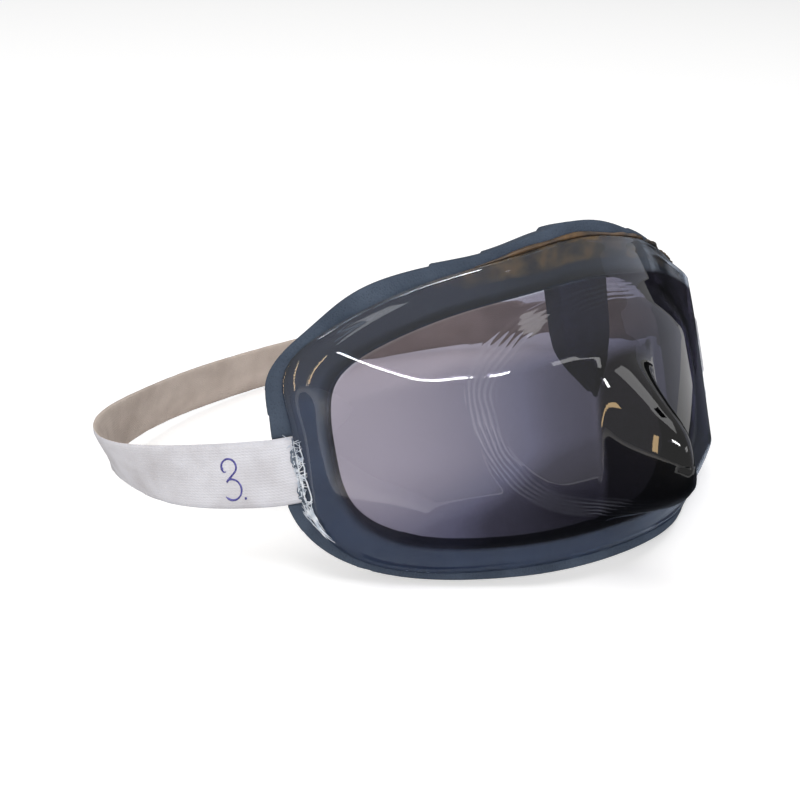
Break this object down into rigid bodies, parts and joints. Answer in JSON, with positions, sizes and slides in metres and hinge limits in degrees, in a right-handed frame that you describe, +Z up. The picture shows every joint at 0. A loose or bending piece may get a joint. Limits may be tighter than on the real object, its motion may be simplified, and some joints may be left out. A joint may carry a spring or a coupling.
{
  "type": "swim mask",
  "caption": "Low swim mask with a tinted moulded shell and nose pocket on a wrapped foam gasket, held by a woven elastic strap that swings and stretches.",
  "frame": {"origin": "on the table under the middle of the whole mask, as it stands when it is set down", "axes": "+Z up, +X to the right as one looks at the front of the mask, so the front faces -Y and the strap's loop runs back along +Y"},
  "size_m": [0.243, 0.2, 0.0975],
  "materials": {
    "shell": "clear smoke violet, glossy",
    "foam": "matt closed cell foam",
    "glue": "set contact adhesive",
    "threads": "loose threads in clear glue",
    "elastic": "woven white elastic"
  },
  "bodies": {
    "mask": {"visor_shell": "shell", "foam_gasket": "foam", "adhesive_film": "glue", "adhesive_bead": "glue", "left_strap_end": "elastic", "right_strap_end": "elastic", "left_strap_glue": "threads", "right_strap_glue": "threads"},
    "strap_sides": {"left_strap_side": "elastic", "right_strap_side": "elastic"},
    "strap_back": {"strap_rear": "elastic"}
  },
  "joints": [
    {"name": "strap_swing", "type": "hinge", "parent": "mask", "child": "strap_sides", "pos_m": [0, -0.01949, 0.03216], "axis": [1, 0, 0], "range_deg": [-45, 110]},
    {"name": "strap_stretch", "type": "slide", "parent": "strap_sides", "child": "strap_back", "axis": [0, 0.9823, -0.1876], "range_m": [0, 0.05], "stiffness_N_per_m": 60, "deforming": ["left_strap_side", "right_strap_side"]}
  ]
}
